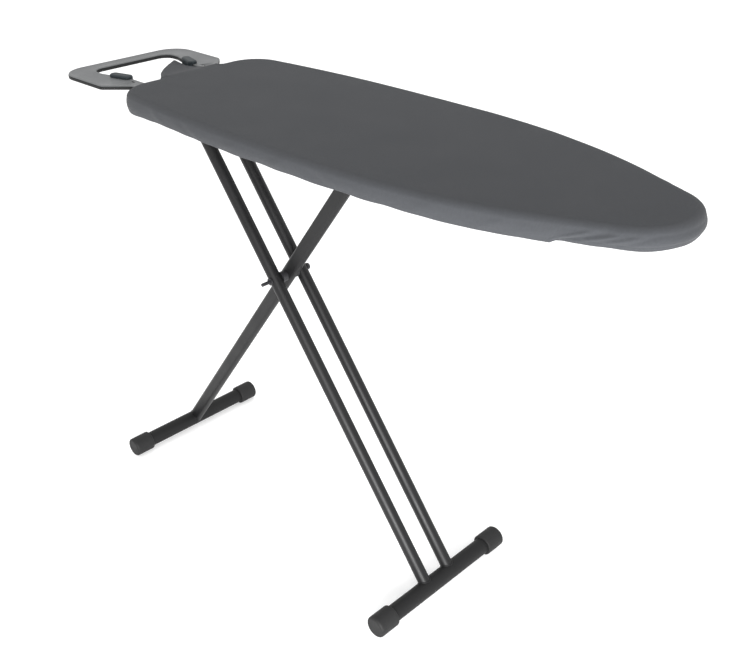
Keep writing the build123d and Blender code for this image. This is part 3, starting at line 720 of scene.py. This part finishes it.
def build_pad():
    """The felt: a slab with a softened edge, flat on the panel and pressed towards its sides."""
    outline = even_outline(flat_loops("felt_pad", PAD_HIGH.z)[0], PLATE_STEP, PLATE_SOFT)
    count = len(outline)
    normal = outward(outline)
    spine = spine_of(outline)
    low, high = PAD_LOW.z + 0.1 * MM, PAD_HIGH.z - 1.0 * MM
    rings = []
    start = outline - normal * FELT_INSET
    for share in np.linspace(1.0, 0.0, 9)[:-1]:
        rings.append(np.column_stack([start + (spine - start) * share, np.full(count, low)]))
    for inset, height in FELT_PROFILE:
        plan = outline - normal * (inset * MM)
        z = low + (high - edge_fall(plan, outline) - low) * height
        rings.append(np.column_stack([plan, z]))
    start = rings[-1][:, :2]
    for share in np.linspace(0.0, 1.0, 24)[1:] ** 1.3:
        plan = start + (spine - start) * share
        z = high + 0.25 * MM * wave(plan, "felt") - edge_fall(plan, outline)
        rings.append(np.column_stack([plan, z]))
    obj = mesh_object(
        "felt_underlay", np.vstack(rings), ring_faces(count, len(rings)),
        finishes["felt"], "board",
    )
    weld_and_face(obj)
    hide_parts("felt_pad")
    return obj


pad = build_pad()


# ---- Expanded metal panel ---------------------------------------------------------------------

PANEL_LOW, PANEL_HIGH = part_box("mesh_panel")
SHEET_LOW = PANEL_LOW.z + 0.05 * MM
SHEET_HIGH = PANEL_HIGH.z - 0.15 * MM
CELL_X = 8.0 * MM
CELL_Y = 4.2 * MM
CELL = ((CELL_X, 0), (0, CELL_Y), (-CELL_X, 0), (0, -CELL_Y))
STRAND_SHARE = 0.68
BORDER_WIDE = 14.0 * MM
BORDER_LAP = 6.0 * MM
BORDER_INSET = 1.5 * MM
BORDER_TOP = SHEET_HIGH + 0.1 * MM


def inside(loop, point):
    """Whether a plan point lies in a loop."""
    a, b = loop, np.roll(loop, -1, axis=0)
    crosses = (a[:, 1] > point[1]) != (b[:, 1] > point[1])
    at = a[:, 0] + (point[1] - a[:, 1]) / (b[:, 1] - a[:, 1] + 1e-15) * (b[:, 0] - a[:, 0])
    return np.count_nonzero(crosses & (point[0] < at)) % 2 == 1


def cell_centres(limit):
    """The middles of the diamonds that lie in the limit, line by line."""
    lines = int(PANEL_HIGH.y / CELL_Y)
    columns = int((NOSE_X - HEEL_X) / (2 * CELL_X)) + 1
    for line in range(-lines, lines + 1):
        for column in range(columns):
            middle = HEEL_X + (2 * column + line % 2) * CELL_X, line * CELL_Y
            if inside(limit, middle):
                yield middle


def build_mesh(outline, normal):
    """Diamond cells cut and drawn from one sheet."""
    index, vertices, faces = {}, [], []

    def vertex(x, y, z):
        key = (round(x, 6), round(y, 6), round(z, 6))
        if key not in index:
            index[key] = len(vertices)
            vertices.append(key)
        return index[key]

    for x, y in cell_centres(outline - normal * (BORDER_WIDE - BORDER_LAP)):
        (outer_low, outer_high), (inner_low, inner_high) = [
            [[vertex(x + dx * share, y + dy * share, z) for dx, dy in CELL] for z in (SHEET_LOW, SHEET_HIGH)]
            for share in (1.0, STRAND_SHARE)
        ]
        for i in range(4):
            j = (i + 1) % 4
            faces.append((outer_high[i], outer_high[j], inner_high[j], inner_high[i]))
            faces.append((outer_low[j], outer_low[i], inner_low[i], inner_low[j]))
            faces.append((inner_high[i], inner_high[j], inner_low[j], inner_low[i]))
    mesh = mesh_object(
        "expanded_mesh", vertices, faces, finishes["panel_steel"], "board", smooth=False
    )
    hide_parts("mesh_panel")


def build_border(outline, normal):
    """The solid border that the cells end in."""
    count = len(outline)
    section = (
        (BORDER_INSET, BORDER_TOP), (BORDER_INSET, SHEET_LOW),
        (BORDER_WIDE, SHEET_LOW), (BORDER_WIDE, BORDER_TOP),
    )
    rings = [np.column_stack([outline - normal * inset, np.full(count, z)]) for inset, z in section]
    faces = ring_faces(count, 4)
    faces += [(3 * count + i, 3 * count + (i + 1) % count, (i + 1) % count, i) for i in range(count)]
    border = mesh_object(
        "panel_border", np.vstack(rings), faces, finishes["panel_steel"], "board",
        smooth=False,
    )
    weld_and_face(border)
    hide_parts("mesh_panel")


panel_outline = even_outline(flat_loops("mesh_panel", PANEL_HIGH.z)[0], PLATE_STEP, PLATE_SOFT)
build_mesh(panel_outline, outward(panel_outline))
build_border(panel_outline, outward(panel_outline))


# ---- Stamped iron rest ------------------------------------------------------------------------

REST_STEP = 1.8 * MM
REST_SOFT = 1.5 * MM
REST_SHEET = 1.4 * MM
REST_DROP = REST_HIGH.z - REST_LOW.z
# The rest's section from its lower edge in: distance in from the outline, height over the top.
REST_PROFILE = (
    (0.0, -REST_DROP), (0.0, -0.62 * REST_DROP), (0.0, -0.34 * REST_DROP), (0.35 * MM, -1.5 * MM),
    (1.1 * MM, -0.55 * MM), (2.4 * MM, -0.08 * MM), (3.6 * MM, 0.0), (5.6 * MM, 0.0),
    (6.8 * MM, -0.35 * MM), (8.2 * MM, -0.6 * MM),
)
# The lowest rows of faces round the rest's edge take the painted shade.
PAINTED_SHADE_ROWS = 3


def rest_mesh():
    """The stamping as one open sheet: rows of faces round its edge and a field with its holes."""
    loops = flat_loops("iron_rest", REST_HIGH.z)
    main = stepped(np.vstack([loops[0], loops[0][:1]]), REST_STEP)[:-1]
    main = smoothed(main, REST_STEP, REST_SOFT)
    count = len(main)
    normal = outward(main)
    bm = bmesh.new()
    made = []
    for inset, z in REST_PROFILE:
        ring = np.column_stack([main - normal * inset, np.full(count, REST_HIGH.z + z)])
        made.append([bm.verts.new(point) for point in ring])
    for level, (lower, upper) in enumerate(zip(made, made[1:])):
        for i in range(count):
            j = (i + 1) % count
            face = bm.faces.new((lower[i], lower[j], upper[j], upper[i]))
            face.material_index = 1 if level < PAINTED_SHADE_ROWS else 0
    field_z = REST_HIGH.z + REST_PROFILE[-1][1]
    edges = [bm.edges.get((made[-1][i], made[-1][(i + 1) % count])) for i in range(count)]
    for loop in loops[1:]:
        hole = [bm.verts.new((x, y, field_z)) for x, y in loop]
        edges += [bm.edges.new((a, b)) for a, b in zip(hole, hole[1:] + hole[:1])]
    bmesh.ops.triangle_fill(bm, use_beauty=True, edges=edges)
    bmesh.ops.recalc_face_normals(bm, faces=bm.faces)
    mesh = bpy.data.meshes.new("rest_stamping")
    bm.to_mesh(mesh)
    bm.free()
    if sum(p.normal.z * p.area for p in mesh.polygons) < 0:
        mesh.flip_normals()
    return mesh


def build_rest():
    """The plate with a rolled shoulder, turned-down edges in painted shade, a pressed field and its slots."""
    obj = dressed("rest_stamping", rest_mesh(), (finishes["rest_plate"], rest_painted_shade), "board")
    solid = obj.modifiers.new("sheet thickness", "SOLIDIFY")
    solid.thickness, solid.offset = REST_SHEET, -1.0
    # The sheet's rims and underside take the painted-shade coat as well.
    solid.material_offset = solid.material_offset_rim = 1
    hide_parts("iron_rest")


build_rest()


# ---- Spring and welds -------------------------------------------------------------------------

SPRING_WIRE = 0.8 * MM
SPRING_TURNS = 9
SPRING_STEPS = 20
SPRING_LEGS = (9.0 * MM, 7.0 * MM)
WELD_BEAD = 1.6 * MM
WELD_STEPS = 72
OVAL_HALF = 16.0 * MM


def tube_curve(name, points, radius, material, body, closed=False):
    """A round wire or bead along smooth points, kept as a mesh."""
    curve = bpy.data.curves.new(name + "_path", "CURVE")
    curve.dimensions, curve.bevel_depth, curve.bevel_resolution = "3D", radius, 3
    curve.use_fill_caps = not closed
    line = curve.splines.new("POLY")
    line.points.add(len(points) - 1)
    for item, point in zip(line.points, points):
        item.co = (*point, 1.0)
    line.use_cyclic_u = closed
    holder = bpy.data.objects.new(name + "_path", curve)
    mesh = bpy.data.meshes.new_from_object(holder)
    bpy.data.objects.remove(holder)
    bpy.data.curves.remove(curve)
    mesh.name = name
    mesh.materials.clear()
    return dressed(name, mesh, (material,), body)


def build_spring():
    """A torsion spring: close turns round the axle, with a leg at each end."""
    low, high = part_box("lever_spring")
    middle = (low + high) / 2
    radius = (high.z - low.z) / 2 - SPRING_WIRE
    total = SPRING_TURNS * SPRING_STEPS
    points = []
    for i in range(total + 1):
        angle = i / SPRING_STEPS * tau
        y = low.y + SPRING_WIRE + (high.y - low.y - 2 * SPRING_WIRE) * i / total
        points.append((middle.x + radius * cos(angle), y, middle.z + radius * sin(angle)))
    (x, y, z), (end_x, end_y, end_z) = points[0], points[-1]
    points = [(x, y, z - SPRING_LEGS[0])] + points + [(end_x, end_y, end_z - SPRING_LEGS[1])]
    coil = tube_curve("lever_spring_coil", points, SPRING_WIRE, finishes["zinc_hardware"], "slider")
    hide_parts("lever_spring")


def build_weld(name, bar, side, half_wide, half_thick, leg_y, body):
    """A bead where a leg leaning to one side lands on its foot bar: its section cast on the bar."""
    low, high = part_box(bar)
    axis = (low + high) / 2
    bar_r = (high.z - low.z) / 2
    down = Vector((side * sin(LEG_LEAN), 0.0, -cos(LEG_LEAN)))
    across = Vector((cos(LEG_LEAN), 0.0, side * sin(LEG_LEAN)))
    straight = half_wide - half_thick
    points = []
    for i in range(WELD_STEPS):
        angle = i / WELD_STEPS * tau
        u = half_thick * cos(angle) + (straight if cos(angle) > 0 else -straight)
        v = half_thick * sin(angle)
        reach = -(max(bar_r ** 2 - u ** 2, 0.0)) ** 0.5
        points.append(Vector((axis.x, leg_y + v, axis.z)) + across * u + down * reach)
    tube_curve(name, points, WELD_BEAD, finishes["charcoal_tube"], body, closed=True)


build_spring()
pivot = sum(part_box("pivot_pin"), Vector()) / 2
front = sum(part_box("front_foot_bar"), Vector()) / 2
LEG_LEAN = atan2(front.x - pivot.x, pivot.z - front.z)
for side_name in ("left", "right"):
    tube_low, tube_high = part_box(f"twin_tube_{side_name}")
    tube_r = (tube_high.y - tube_low.y) / 2
    build_weld(f"weld_front_{side_name}", "front_foot_bar", 1, tube_r, tube_r,
               (tube_low.y + tube_high.y) / 2, "twin_leg")
oval_low, oval_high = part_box("single_leg_tube")
build_weld("weld_rear", "rear_foot_bar", -1, OVAL_HALF, (oval_high.y - oval_low.y) / 2, 0.0, "single_leg")
